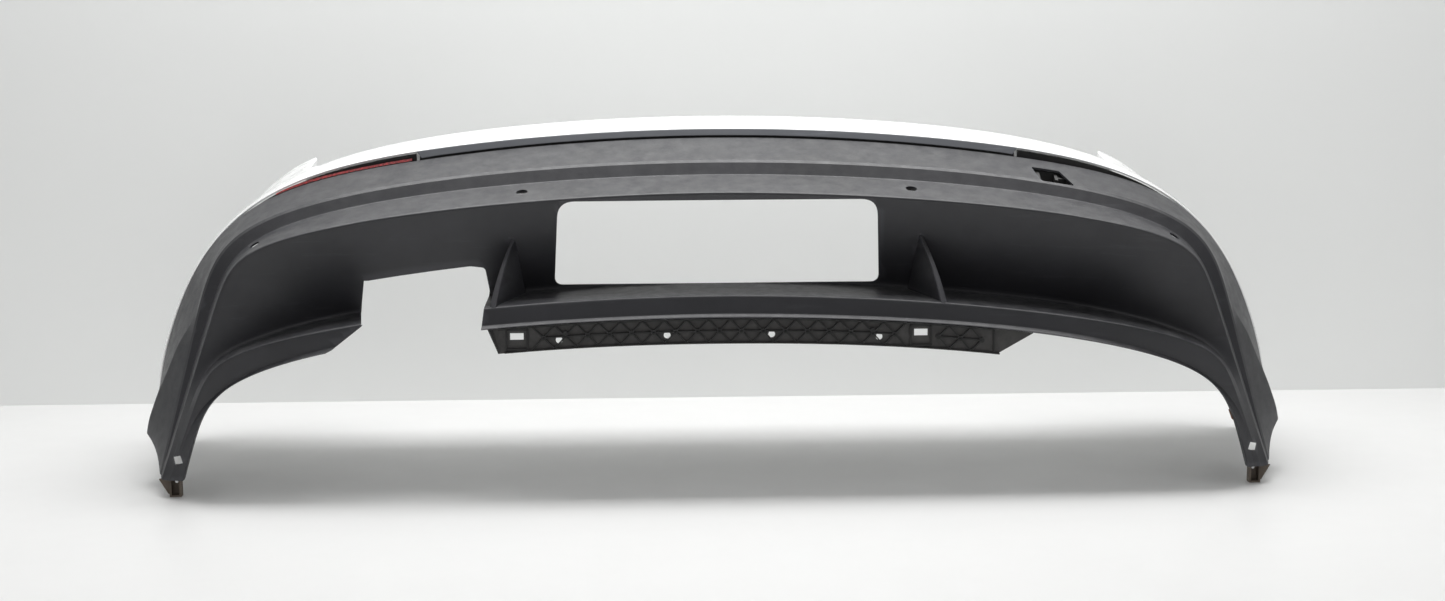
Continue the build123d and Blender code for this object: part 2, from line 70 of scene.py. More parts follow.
# Sections of one half: a plane across at x ("plan"), a fan angle about the pivot, or a level on
# the wing; then share and y of the flare crease, the painted face's set at y 310, at the sill
# and at the horn's top, and how much of the recess depth is left
SECTIONS = [
    ("plan", 0, 0.50, 162, -5, -24, -60, 1.00),
    ("plan", 150, 0.50, 162, -5, -24, -58, 1.00),
    ("plan", 300, 0.50, 161, -5, -23, -52, 1.00),
    ("fan", 0, 0.50, 160, -4, -19, -38, 1.00),
    ("fan", 12, 0.48, 158, -3, -14, -22, 1.00),
    ("fan", 24, 0.46, 156, -1, -7, -4, 1.00),
    ("fan", 34, 0.44, 153, 0, 1, 13, 1.00),
    ("fan", 44, 0.40, 147, 1, 3, 13, 0.97),
    ("fan", 52, 0.33, 138, 0, 0, 6, 0.89),
    ("fan", 60, 0.23, 124, -1, -4, -4, 0.74),
    ("fan", 68, 0.14, 107, -2, -8, -12, 0.50),
    ("fan", 76, 0, 117, -3, -10, -18, 0.22),
    ("fan", 83, 0, 126, -3, -12, -22, 0.05),
    ("fan", 90, 0, 134, -4, -13, -24, 0.0),
    ("level", 105, 0, 137, -2, -8, -14, 0.0),
    ("level", 80, 0, 139, 2, 2, 2, 0.0),
    ("level", 52, 0, 140, 6, 12, 18, 0.0),
    ("level", 22, 0, 140, 8, 16, 24, 0.0),
    ("level", 3, 0, 140, 8, 17, 26, 0.0),
]
CREASE_X, CREASE_Z, CREASE_SLOPE, CREASE_WIDEST = 836.0, 272.0, 0.48, 921.0
ARCH = [
    (44, 28), (60, 36), (80, 51), (110, 71), (140, 84), (172, 93), (205, 96),
    (250, 93), (300, 83), (345, 66), (385, 40), (415, 0),
]


def place(x, y, z):
    """From drawing millimetres to the row's metres."""
    return Vector((x / 1000, (y - MIDDLE_Y) / 1000, z / 1000))


# ---- body lines ----------------------------------------------------------------------------
def widest(x, limit):
    """x, held softly below its widest value."""
    return limit - CAP_SOFT * log(1 + exp((limit - x) / CAP_SOFT))


def line_point(name, t):
    """A point of a body line; t runs from the centre (0) to the foot of the wing (1)."""
    span0, span1, top, foot, sag, crown, corner, y0, y1, y_power, limit = LINES[name]
    swing = 1.2
    turn = cos(swing) ** corner
    if t <= 0.5:
        angle = 2 * t * swing
        drop = cos(angle) ** corner
        across = sin(angle)
    else:
        drop = turn * (2 - 2 * t)
        across = sqrt(max(0.0, 1 - drop ** (2 / corner)))
    out = across ** crown
    x = (span0 + (span1 - span0) * (1 - drop)) * out
    z = foot + (top - foot - sag * out * out) * drop
    y = y0 + (y1 - y0) * (1 - drop) ** y_power
    return widest(x, limit), y, z


def frame_of(section):
    """Origin and direction, in x and z, of the ray a section is drawn along."""
    kind, value = section[:2]
    if kind == "plan":
        return value, PIVOT_Z, 0.0, 1.0
    if kind == "fan":
        return PIVOT_X, PIVOT_Z, sin(radians(value)), cos(radians(value))
    if kind == "horn":
        return HORN_X, PIVOT_Z, sin(radians(value)), cos(radians(value))
    return PIVOT_X, value, 1.0, 0.0


def reach(name, section):
    """Distance along the section's ray, and y, where a body line crosses it."""
    ox, oz, dx, dz = frame_of(section)
    low, high = 0.0, 1.0
    for _ in range(40):
        middle = (low + high) / 2
        x, _y, z = line_point(name, middle)
        if (x - ox) * dz - (z - oz) * dx > 0:
            high = middle
        else:
            low = middle
    x, y, z = line_point(name, low)
    return (x - ox) * dx + (z - oz) * dz, y


def in_space(section, side, pairs):
    """Pairs of distance and y as points, on the left (-1) or the right (1)."""
    ox, oz, dx, dz = frame_of(section)
    return [(side * (ox + dx * r), y, oz + dz * r) for r, y in pairs]


def run_of(section):
    """Run along the body from the middle, one number for all three kinds of section."""
    kind, value = section[:2]
    if kind == "plan":
        return value
    if kind == "fan":
        return PIVOT_X + DEGREE_RUN * value
    return PIVOT_X + DEGREE_RUN * 90 + PIVOT_Z - value


def section_at(run):
    """The section at a run; run_of turned round."""
    if run < PIVOT_X:
        return ("plan", run)
    if run < PIVOT_X + DEGREE_RUN * 90:
        return ("fan", (run - PIVOT_X) / DEGREE_RUN)
    return ("level", PIVOT_Z - (run - PIVOT_X - DEGREE_RUN * 90))


def crease_run(section):
    """Distance to the flare crease where it is a straight line down the wing."""
    ox, oz, dx, dz = frame_of(section)
    run = (CREASE_X + CREASE_SLOPE * (CREASE_Z - oz) - ox) / (dx + CREASE_SLOPE * dz)
    if section[0] == "level" or section[1] > 85:
        run = widest(ox + run * dx, CREASE_WIDEST) - ox
    return run


def column(values, run):
    """Smooth value between the named sections: cubic with finite-difference slopes."""
    if run <= RUNS[0]:
        return values[0]
    if run >= RUNS[-1]:
        return values[-1]
    i = max(k for k, r in enumerate(RUNS) if r <= run)
    slopes = []
    for k in (i, i + 1):
        a, b = max(k - 1, 0), min(k + 1, len(RUNS) - 1)
        slopes.append((values[b] - values[a]) / (RUNS[b] - RUNS[a]))
    step = RUNS[i + 1] - RUNS[i]
    t = (run - RUNS[i]) / step
    return (
        (2 * t**3 - 3 * t**2 + 1) * values[i]
        + (t**3 - 2 * t**2 + t) * step * slopes[0]
        + (3 * t**2 - 2 * t**3) * values[i + 1]
        + (t**3 - t**2) * step * slopes[1]
    )


RUNS = [run_of(s) for s in SECTIONS]
SHARES, ROOTS = [], []
for s in SECTIONS:
    trim, waist = reach("trim_edge", s)[0], reach("waist", s)[0]
    SHARES.append(s[2] if s[2] else (crease_run(s) - waist) / (trim - waist))
    top, ledge = reach("lip_top", s)[0], reach("ledge", s)[0]
    ROOTS.append((3 + 6 * (1 - s[7])) / (ledge - top) if s[7] > 0 else 0.45)
CREASE_YS = [s[3] for s in SECTIONS]
SET_310, SET_SILL, SET_HORN = ([s[k] for s in SECTIONS] for k in (4, 5, 6))
LEFT = [s[7] for s in SECTIONS]


# ---- outlines ------------------------------------------------------------------------------
def inset(pairs, wall):
    """The same open outline moved to its inner side by the wall thickness."""
    moved = []
    for i in range(len(pairs)):
        normals = []
        for j in (i - 1, i):
            if 0 <= j < len(pairs) - 1:
                dr = pairs[j + 1][0] - pairs[j][0]
                dy = pairs[j + 1][1] - pairs[j][1]
                size = hypot(dr, dy) or 1e-9
                normals.append((dy / size, -dr / size))
        if len(normals) == 1:
            normals.append(normals[0])
        (ar, ay), (br, by) = normals
        scale = wall / max(0.35, 1 + ar * br + ay * by)
        moved.append((pairs[i][0] + (ar + br) * scale, pairs[i][1] + (ay + by) * scale))
    return moved


def rounded(pairs, radii, parts, steps=4, closed=False):
    """Arcs of the given radii at the corners, and straight runs cut into parts."""
    n = len(pairs)
    p = [Vector(q) for q in pairs]
    made = []
    for i in range(n):
        if not closed and i in (0, n - 1):
            made.append([p[i]])
            continue
        before, after = p[i] - p[i - 1], p[(i + 1) % n] - p[i]
        lb, la = before.length, after.length
        before, after = before / lb, after / la
        turn = atan2(before.x * after.y - before.y * after.x, before.dot(after))
        cut = min(max(radii[i] * tan(min(abs(turn), 2.8) / 2), 0.15), 0.44 * lb, 0.44 * la)
        a, b = p[i] - before * cut, p[i] + after * cut
        arc = []
        for k in range(steps + 1):
            t = k / steps
            arc.append(a * (1 - t) ** 2 + p[i] * 2 * t * (1 - t) + b * t * t)
        made.append(arc)
    out = []
    for i in range(n if closed else n - 1):
        out += made[i]
        a, b = made[i][-1], made[(i + 1) % n][0]
        count = parts[i]
        out += [a + (b - a) * k / count for k in range(1, count)]
    if not closed:
        out += made[-1]
    return [(q.x, q.y) for q in out]


def smooth_curve(pairs, count):
    """Natural cubic through the points, by chord length; gives count + 1 points."""
    n = len(pairs)
    t = [0.0]
    for a, b in zip(pairs, pairs[1:]):
        t.append(t[-1] + hypot(b[0] - a[0], b[1] - a[1]))
    curves = []
    for c in (0, 1):
        v = [q[c] for q in pairs]
        low, diag, up, right = [0.0] * n, [1.0] * n, [0.0] * n, [0.0] * n
        for i in range(1, n - 1):
            h0, h1 = t[i] - t[i - 1], t[i + 1] - t[i]
            low[i], diag[i], up[i] = h0, 2 * (h0 + h1), h1
            right[i] = 6 * ((v[i + 1] - v[i]) / h1 - (v[i] - v[i - 1]) / h0)
        for i in range(1, n):
            w = low[i] / diag[i - 1]
            diag[i] -= w * up[i - 1]
            right[i] -= w * right[i - 1]
        bend = [0.0] * n
        for i in range(n - 1, -1, -1):
            after = up[i] * bend[i + 1] if i < n - 1 else 0.0
            bend[i] = (right[i] - after) / diag[i]
        curves.append((v, bend))
    out = []
    for k in range(count + 1):
        s = t[-1] * k / count
        i = min(max(j for j in range(n) if t[j] <= s + 1e-9), n - 2)
        h = t[i + 1] - t[i]
        a, b = (t[i + 1] - s) / h, (s - t[i]) / h
        point = []
        for v, bend in curves:
            point.append(
                a * v[i] + b * v[i + 1]
                + ((a**3 - a) * bend[i] + (b**3 - b) * bend[i + 1]) * h * h / 6
            )
        out.append(tuple(point))
    return out


# ---- meshes --------------------------------------------------------------------------------
def finish_mesh(name, bm):
    bmesh.ops.recalc_face_normals(bm, faces=bm.faces)
    mesh = bpy.data.meshes.new(name)
    bm.to_mesh(mesh)
    bm.free()
    obj = bpy.data.objects.new(name, mesh)
    bpy.context.collection.objects.link(obj)
    return obj


def bridge(bm, loops):
    """Rows of vertices through loops of as many points, joined by four-sided faces."""
    rows = [[bm.verts.new(place(*p)) for p in loop] for loop in loops]
    n = len(rows[0])
    for a, b in zip(rows, rows[1:]):
        for i in range(n):
            j = (i + 1) % n
            bm.faces.new((a[i], a[j], b[j], b[i]))
    return rows


def loft(name, loops):
    """A closed skin; each loop goes along its outer side, then back along its inner side."""
    bm = bmesh.new()
    rows = bridge(bm, loops)
    n = len(rows[0])
    for row in (rows[0], rows[-1]):
        for i in range(n // 2 - 1):
            bm.faces.new((row[i], row[i + 1], row[n - 2 - i], row[n - 1 - i]))
    return finish_mesh(name, bm)


def tube(name, loops):
    """A closed bar with one flat face at each end."""
    bm = bmesh.new()
    rows = bridge(bm, loops)
    bm.faces.new(rows[0][::-1])
    bm.faces.new(rows[-1])
    return finish_mesh(name, bm)


def prism(points, direction):
    """A closed solid: an outline moved along a straight line."""
    bm = bmesh.new()
    base = [bm.verts.new(place(*p)) for p in points]
    far = [bm.verts.new(place(*(Vector(p) + Vector(direction)))) for p in points]
    n = len(points)
    bm.faces.new(base)
    bm.faces.new(far[::-1])
    for i in range(n):
        j = (i + 1) % n
        bm.faces.new((base[i], far[i], far[j], base[j]))
    return finish_mesh("tool", bm)


def rod(origin, axis, radius, length, sides=48):
    """A round bar with its middle at origin."""
    axis = Vector(axis).normalized()
    turn = axis.to_track_quat("Z", "Y").to_matrix()
    points = []
    for k in range(sides):
        a = 2 * pi * k / sides
        points.append(Vector(origin) + turn @ Vector((radius * cos(a), radius * sin(a), 0)))
    start = [tuple(p - axis * length / 2) for p in points]
    return prism(start, tuple(axis * length))


def cut(obj, tools, how="DIFFERENCE"):
    """Apply each tool to the object, then remove the tool."""
    for tool in tools:
        mod = obj.modifiers.new("cut", "BOOLEAN")
        mod.operation = how
        mod.solver = "MANIFOLD"
        mod.object = tool
    graph = bpy.context.evaluated_depsgraph_get()
    mesh = bpy.data.meshes.new_from_object(obj.evaluated_get(graph))
    obj.modifiers.clear()
    old = obj.data
    obj.data = mesh
    bpy.data.meshes.remove(old)
    for tool in tools:
        data = tool.data
        bpy.data.objects.remove(tool)
        bpy.data.meshes.remove(data)


def bevel(obj, width, angle):
    mod = obj.modifiers.new("edge", "BEVEL")
    mod.width = width
    mod.segments = 2
    mod.limit_method = "ANGLE"
    mod.angle_limit = radians(angle)


def soften(obj, width):
    """Small broken edges on the cut rims, and flat faces that stay flat."""
    obj.data.shade_smooth()
    obj.data.set_sharp_from_angle(angle=radians(34))
    bevel(obj, width, 42)
    obj.modifiers.new("flat", "WEIGHTED_NORMAL").keep_sharp = True


# ---- lower valance -------------------------------------------------------------------------
VALANCE_RADII = [1, 1.6, 14, 1.3, 1.3, 3.5, 4, 7, 4.5, 3, 1.6, 1]
VALANCE_PARTS = [1, 6, 6, 1, 3, 8, 14, 10, 3, 2, 2]


def valance_loop(run, side):
    """The grey skin's wall at one run: its outer side, then back along its inner side."""
    section = section_at(run)
    trim, trim_y = reach("trim_edge", section)
    waist, waist_y = reach("waist", section)
    step, step_y = reach("step", section)
    ledge, ledge_y = reach("ledge", section)
    top, top_y = reach("lip_top", section)
    foot, foot_y = reach("lip_foot", section)
    bead, bead_y = reach("bead", section)
    flare = waist + column(SHARES, run) * (trim - waist)
    left = max(0.0, column(LEFT, run))
    share = column(ROOTS, run)
    outer = [
        (trim - 9, trim_y + 3),
        (trim, trim_y),
        (flare, column(CREASE_YS, run)),
        (waist + 2.2, waist_y + 3.6),
        (waist - 1.8, waist_y - 1),
        (step, step_y),
        (ledge, ledge_y),
        (top + share * (ledge - top), top_y + share * (ledge_y - top_y) + RECESS_DEPTH * left),
        (top, top_y),
        (foot, foot_y),
        (bead, bead_y),
        (bead - 1, bead_y + 14),
    ]
    inner = inset(outer, SKIN)
    radii = []
    for i, radius in enumerate(VALANCE_RADII):
        if 0 < i < len(outer) - 1:
            a = Vector(outer[i]) - Vector(outer[i - 1])
            b = Vector(outer[i + 1]) - Vector(outer[i])
            hollow = a.x * b.y - a.y * b.x > 0
            radius = radius + SKIN if hollow else max(0.5, radius - SKIN)
        radii.append(radius)
    both = outer + inner[::-1]
    pairs = rounded(
        both,
        VALANCE_RADII + radii[::-1],
        VALANCE_PARTS + [1] + VALANCE_PARTS[::-1] + [1],
        closed=True,
    )
    return in_space(section, side, pairs)


def runs_between(start, end, step):
    """Even values from start to end, about a step apart."""
    count = round((end - start) / step)
    return [start + (end - start) * k / count for k in range(count + 1)]


GREY_FOOT = 22              # level at which the grey skin ends
right = runs_between(0, run_of(("level", GREY_FOOT)), 8)
stations = [(r, -1) for r in reversed(right[1:])] + [(r, 1) for r in right]
valance = loft("lower_valance_skin", [valance_loop(r, s) for r, s in stations])


def arch_tool():
    """Everything below the wheel-arch curve, right across the body."""
    curve = smooth_curve(ARCH, 90)
    profile = [(-1000, -60, 28)] + [(-1000, y, z) for y, z in curve]
    profile += [(-1000, 415, -40), (-1000, -60, -40)]
    return prism(profile, (2000, 0, 0))


def round_outline(points, radii):
    """A closed outline with rounded corners."""
    return rounded(points, radii, [1] * len(points), steps=8, closed=True)


opening = round_outline([(-248, 461), (-258, 321), (258, 321), (248, 461)], [28, 13, 13, 28])
pipe = round_outline(
    [
        (-553, 333), (-500, 341), (-440, 349), (-389, 355), (-366, 352), (-361, 313),
        (-364, 290), (-368, 262), (-368, 180), (-700, 180), (-640, 222), (-612, 232),
        (-596, 240), (-547, 278),
    ],
    [7, 30, 30, 30, 8, 20, 20, 4, 1, 1, 10, 10, 10, 12],
)
tow_hole = round_outline([(509, 169), (555, 169), (572, 123), (519, 123)], [4, 4, 4, 4])
SENSOR_HOLES = [(-305, 80, 471), (305, 80, 471), (-722, 80, 391), (722, 80, 391)]
SENSOR_R = 9.2
NOTCH_LEFT = [(-552, 5), (-566, 112), (-566, 130), (-540, 130), (-540, 5)]
WINDOW_X, WINDOW_Z, WINDOW_HALF, WINDOW_LEAN = 846, 62, 6.5, radians(17)


def sensor_axis(x):
    """Square to the ledge, which turns with the body at the outer sensors."""
    lean = radians(34 if abs(x) > 500 else 4)
    return (sin(lean) * (1 if x > 0 else -1), -0.27, cos(lean))


cut(valance, [arch_tool()])
cut(valance, [prism([(x, -170, z) for x, z in opening], (0, 340, 0))])
cut(valance, [prism([(x, -60, z) for x, z in pipe], (0, 240, 0))])
# behind the lip, the notch's left edge leans outward
cut(valance, [prism([(x, y, 270) for x, y in NOTCH_LEFT], (7, 0, 63.5))])
cut(valance, [prism([(x, y, 440) for x, y in tow_hole], (0, 0, 120))])
for x, y, z in SENSOR_HOLES:
    cut(valance, [rod((x, y, z), sensor_axis(x), SENSOR_R, 60)])


def flange_window(side):
    """The square clip window in a wheel-arch flange."""
    corners = []
    c, s = WINDOW_HALF * cos(WINDOW_LEAN), WINDOW_HALF * sin(WINDOW_LEAN)
    for a, b in ((-1, -1), (1, -1), (1, 1), (-1, 1)):
        corners.append((side * (WINDOW_X + a * c + b * s), WINDOW_Z - a * s + b * c))
    outline = round_outline(corners, [1.5] * 4)
    return prism([(x, 10, z) for x, z in outline], (0, 80, 0))


for side in (-1, 1):
    cut(valance, [flange_window(side)])


def strake(side):
    """A wedge from the recess wall to the lip, with a thicker free edge."""
    a, b, c = Vector((319, 72, 402)), Vector((350, 5.5, 301.2)), Vector((306, 110, 307))
    normal = (b - a).cross(c - a).normalized()
    outward = ((a + b) / 2 - c).normalized()
    rings = []
    steps = 16
    for t in range(steps + 1):
        share = t / steps
        edge = a + (b - a) * share + outward * 6 * sin(pi * share)
        inward = (a + (c - a) * share) - edge
        if inward.length < 9:
            inward = (c - b).normalized() * 9
        depth = inward.length
        inward = inward / depth
        bead = 2.4 + 2.8 * share
        ring = []
        for wide, d in (
            (-2.4, depth), (-2.0, 8), (-bead, 4.5), (-bead, 1.2), (-bead * 0.7, 0),
            (bead * 0.7, 0), (bead, 1.2), (bead, 4.5), (2.0, 8), (2.4, depth),
        ):
            ring.append(edge + inward * d + normal * wide)
        rings.append([(side * p.x, p.y, p.z) for p in ring])
    return tube("tool", rings)


for side in (-1, 1):
    cut(valance, [strake(side)], "UNION")

# ---- painted upper cover -------------------------------------------------------------------
WING_TOP = [(520, 500), (480, 499), (440, 490), (380, 471), (200, 455), (-20, 446)]


def wing_top(z):
    """y where the painted wing ends, at a height."""
    if z >= WING_TOP[0][0]:
        return WING_TOP[0][1]
    for (z1, y1), (z0, y0) in zip(WING_TOP, WING_TOP[1:]):
        if z >= z0:
            return y0 + (y1 - y0) * (z - z0) / (z1 - z0)
    return WING_TOP[-1][1]


FACE_Y = SILL_Y - 7.0
SHOULDER_DIP, SHOULDER_RUN, SHOULDER_WIDE = 5.0, 840.0, 150.0   # the crest is flatter there
FACE_COUNT, TOP_COUNT = 30, 26
CHEEK_RADIUS = 3.5


def resample(points, count):
    """The same path through count + 1 evenly spaced points."""
    lengths = [0.0]
    for a, b in zip(points, points[1:]):
        lengths.append(lengths[-1] + hypot(b[0] - a[0], b[1] - a[1]))
    out, i = [], 0
    for k in range(count + 1):
        s = lengths[-1] * k / count
        while i < len(points) - 2 and lengths[i + 1] < s:
            i += 1
        t = (s - lengths[i]) / max(lengths[i + 1] - lengths[i], 1e-9)
        out.append((points[i][0] + (points[i + 1][0] - points[i][0]) * t,
                    points[i][1] + (points[i + 1][1] - points[i][1]) * t))
    return out


def sill_top(x, crest):
    """z, along the sill's front corner, measured like crest."""
    return crest - 24 + 22 * (abs(x) / HORN_X) ** 4


def cover_paths(section, wants_sill):
    """The face from the paint's edge to the sill's corner, the sill, and the horn."""
    crest, crest_y = reach("crest", section)
    paint, paint_y = reach("paint_edge", section)
    ox, oz, dx, dz = frame_of(section)
    if section[0] == "plan" and section[1] <= PIVOT_X or section[0] == "level":
        run = run_of(section)
    else:
        x, z = ox + dx * crest, oz + dz * crest
        run = PIVOT_X + DEGREE_RUN * degrees(atan2(x - PIVOT_X, z - PIVOT_Z))
    crest -= SHOULDER_DIP * exp(-(((run - SHOULDER_RUN) / SHOULDER_WIDE) ** 2))
    outline = [
        (paint, paint_y),
        (paint + 0.62 * (crest - paint), 0.5 * (paint_y + crest_y)),
        (crest, crest_y),
        (crest + column(SET_310, run), 310),
        (crest + column(SET_SILL, run), SILL_Y),
        (crest + column(SET_HORN, run), HORN_Y + 12),
    ]
    dense = smooth_curve(outline, 240)
    turn = next(i for i, q in enumerate(dense) if q[1] >= FACE_Y)
    face = dense[: turn + 1]
    horn = []
    for q in dense[turn:]:
        horn.append(q)
        if q[1] >= wing_top(oz + dz * q[0]):
            break
    face = resample(face, FACE_COUNT)
    horn = resample(horn, TOP_COUNT)
    sill = None
    if wants_sill:
        corner = next(q for q in dense if q[1] >= SILL_Y)
        top = sill_top(section[1], crest)
        path = rounded(
            [
                face[-1],
                (corner[0], SILL_Y),
                (top - 12, SILL_Y + 4.5),
                (top - SILL_DEPTH, SILL_Y + 12),
                (top - SILL_DEPTH, SILL_Y + 34),
            ],
            [0, 3.5, 12, 7, 0],
            [2, 2, 8, 3],
            steps=3,
        )
        sill = resample(path, TOP_COUNT) if len(path) != TOP_COUNT + 1 else path
    return face, sill, horn


def wall_of(path):
    """The inner side of a finely sampled path."""
    out = []
    for i, (r, y) in enumerate(path):
        a, b = path[max(i - 1, 0)], path[min(i + 1, len(path) - 1)]
        dr, dy = b[0] - a[0], b[1] - a[1]
        size = hypot(dr, dy) or 1e-9
        out.append((r - dy / size * SKIN, y + dr / size * SKIN))
    return out


def end_round(a, b, outward):
    """Three points of a rounded free edge between the outer and the inner side."""
    a, b, outward = Vector(a), Vector(b), Vector(outward).normalized()
    middle = (a + b) / 2
    half = (b - a).length / 2
    across = (a - b).normalized()
    points = []
    for angle in (35, 90, 145):
        c, s = cos(radians(angle)), sin(radians(angle))
        points.append(tuple(middle + across * c * half + outward * s * half * 0.55))
    return points


def cheek_point(low, high, part):
    """A point of the upright cheek, with a fillet of CHEEK_RADIUS at its foot and its top."""
    gap = Vector(high) - Vector(low)
    size = gap.length
    fillet = min(CHEEK_RADIUS, 0.45 * size)
    if part < 0.5:
        move = fillet * (1 - cos(part * pi))
    else:
        move = size - fillet * (1 - sin((part - 0.5) * pi))
    return tuple(Vector(low) + gap * (move / max(size, 1e-6)))


def cover_loop(section, side, part, shift):
    """part is "sill", "horn" or a step (0 to 1) of the cheek that joins them; shift moves the
    inner side outward, so that the cheek keeps its thickness."""
    face, sill, horn = cover_paths(section, part != "horn")
    if part == "sill":
        outer = face + sill[1:]
    elif part == "horn":
        outer = face + horn[1:]
    else:
        outer = face + [cheek_point(s, h, part) for s, h in zip(sill[1:], horn[1:])]
    if part in ("sill", "horn"):
        inner = wall_of(outer)
    else:
        low = wall_of(face + sill[1:])
        high = wall_of(face + horn[1:])
        first = len(face)
        inner = low[:first] + [cheek_point(s, h, part) for s, h in zip(low[first:], high[first:])]
    start = Vector(outer[0]) - Vector(outer[1])
    end = Vector(outer[-1]) - Vector(outer[-2])
    if part not in ("sill", "horn"):
        end = Vector(horn[-1]) - Vector(horn[-2])
    low_edge = end_round(outer[0], inner[0], start)[::-1]
    high_edge = end_round(outer[-1], inner[-1], end)
    pairs = outer + high_edge + inner[::-1] + low_edge
    points = in_space(section, side, pairs)
    if shift:
        first = len(outer) + 1
        points = [
            (x + side * shift, y, z) if first <= i < first + len(inner) + 1 else (x, y, z)
            for i, (x, y, z) in enumerate(points)
        ]
    return points


CHEEK_X = HORN_X - 8.0
half = [(("plan", x), "sill", 0.0) for x in runs_between(0, CHEEK_X - 12, 10)]
half.append((("plan", CHEEK_X - 6), "sill", 1.5))
for k in range(0, 11):
    part = k / 10
    half.append((("plan", CHEEK_X + 7.0 * part), part, 3.0))
half.append((("plan", HORN_X - 0.5), "horn", 3.0))
half.append((("horn", 0.6), "horn", 1.5))
half += [(("horn", a), "horn", 0.0) for a in runs_between(1.2, 90, 1.48)]
half += [(("level", z), "horn", 0.0) for z in runs_between(3, PIVOT_Z - 5, 6)[::-1]]
loops = [cover_loop(s, -1, p, d) for s, p, d in reversed(half[1:])]
loops += [cover_loop(s, 1, p, d) for s, p, d in half]
cover = loft("upper_cover_skin", loops)
cut(cover, [arch_tool()])
below_floor = [(-1000, -100, -60), (1000, -100, -60), (1000, 600, -60), (-1000, 600, -60)]
cut(cover, [prism(below_floor, (0, 0, 60))])
SILL_HOLES, SILL_HOLE_R = (-560, -336, -112, 112, 336, 560), 3.5
for x in SILL_HOLES:
    z = sill_top(x, PIVOT_Z + reach("crest", ("plan", abs(x)))[0]) - SILL_DEPTH
    cut(cover, [rod((x, SILL_Y + 23, z), (0, 0, 1), SILL_HOLE_R, 30)])

# ---- centre trim strip ---------------------------------------------------------------------
TRIM_ENDS = (-476.0, 488.0)


def trim_loop(x):
    """The strip's outline at x; it slants a little at both ends."""
    section = ("plan", abs(x))
    paint, paint_y = reach("paint_edge", section)
    trim, trim_y = reach("trim_edge", section)
    low, high = trim + 3, paint - 1.2
    outer = [(low, trim_y + 0.3), (high, paint_y - 1.9)]
    inner = [(high, paint_y + 0.1), (low, trim_y + 3.3)]
    pairs = rounded(outer + inner, [0.8, 0.8, 0.5, 0.5], [5, 1, 5, 1], steps=3, closed=True)
    side = 1 if x >= 0 else -1
    to_end = abs(TRIM_ENDS[1 if x >= 0 else 0] - x)
    near_end = max(0.0, (40 - to_end) / 40)
    slant = 0.8 * near_end * near_end
    middle = (low + high) / 2
    return [(x + side * slant * (r - middle), y, PIVOT_Z + r) for r, y in pairs]


trim_strip = tube("centre_trim_skin", [trim_loop(x) for x in runs_between(*TRIM_ENDS, 9)])

# ---- ribbed lower strip --------------------------------------------------------------------
STRIP_FRONT, STRIP_WALL, RIB_DEEP, RIB_HALF, RIB_PITCH = 8.0, 2.6, 4.0, 1.0, 34.0
STRIP_TOP, STRIP_FOOT = (-358, 489), (-342, 432)         # x of both ends
WINDOW_XS, HOLE_XS = (-313, 313), (-248, -81, 81, 248)
STRIP_WINDOW_HALF, WINDOW_RIM_HALF, STRIP_HOLE_R = 10.5, 16, 5.3
RIB_ENDS = (-330, 424)                                   # the crossed ribs stay between these


def strip_z(x, share):
    """Height on the strip, from its foot (share 0) to its top (share 1)."""
    bead = PIVOT_Z + reach("bead", ("plan", abs(x)))[0]
    return bead - 42.0 + share * 39.6


def strip_web():
    """The strip's wall, before its windows, holes and ribs."""
    top = [(x, STRIP_FRONT, strip_z(x, 1)) for x in runs_between(*STRIP_TOP, 14.1)]
    foot = [(x, STRIP_FRONT, strip_z(x, 0)) for x in runs_between(*STRIP_FOOT, 12.9)]
    return prism(top + foot[::-1], (0, STRIP_WALL, 0))


def bar(x0, z0, x1, z1, half):
    """A straight rib standing on the front of the web."""
    run = hypot(x1 - x0, z1 - z0)
    a, b = (z0 - z1) / run * half, (x1 - x0) / run * half
    outline = [(x0 + a, z0 + b), (x1 + a, z1 + b), (x1 - a, z1 - b), (x0 - a, z0 - b)]
    return prism([(x, STRIP_FRONT - RIB_DEEP, z) for x, z in outline], (0, RIB_DEEP + 0.2, 0))


def between(x0, share0, x1, share1, half=RIB_HALF):
    """A rib between two places, each an x and a share of the strip's height."""
    return bar(x0, strip_z(x0, share0), x1, strip_z(x1, share1), half)


web = strip_web()
for x in WINDOW_XS:
    low, high = strip_z(x, 0.49), strip_z(x, 0.76)
    x0, x1 = x - STRIP_WINDOW_HALF, x + STRIP_WINDOW_HALF
    cut(web, [prism([(x0, 0, low), (x1, 0, low), (x1, 0, high), (x0, 0, high)], (0, 30, 0))])
for x in HOLE_XS:
    cut(web, [rod((x, STRIP_FRONT, strip_z(x, 0.36)), (0, 1, 0), STRIP_HOLE_R, 30)])
ribs = []
centres = [k * RIB_PITCH for k in range(-8, 13)]
clear = [x for x in centres if all(abs(x - w) > 22 for w in WINDOW_XS)]
for x in clear:
    for way in (-1, 1):
        tip = x + way * RIB_PITCH / 2
        if not RIB_ENDS[0] < tip < RIB_ENDS[1] or any(abs(tip - w) < 15 for w in WINDOW_XS):
            continue
        for share in (0.95, 0.05):
            ribs.append(between(x, 0.5, tip, share))
    if x + RIB_PITCH in clear:
        ribs.append(between(x, 0.5, x + RIB_PITCH, 0.5))
    near_hole = any(abs(x - h) < 11 for h in HOLE_XS)
    boss = (x, STRIP_FRONT - RIB_DEEP / 2 + 0.2, strip_z(x, 0.5 if not near_hole else 0.62))
    ribs.append(rod(boss, (0, 1, 0), 3.9, RIB_DEEP, 24))
for x in WINDOW_XS:
    low, high = strip_z(x, 0.12), strip_z(x, 0.9)
    x0, x1 = x - WINDOW_RIM_HALF, x + WINDOW_RIM_HALF
    for ends in ((x0, low, x0, high), (x1, low, x1, high), (x0, low, x1, low), (x0, high, x1, high)):
        ribs.append(bar(*ends, 1.2))
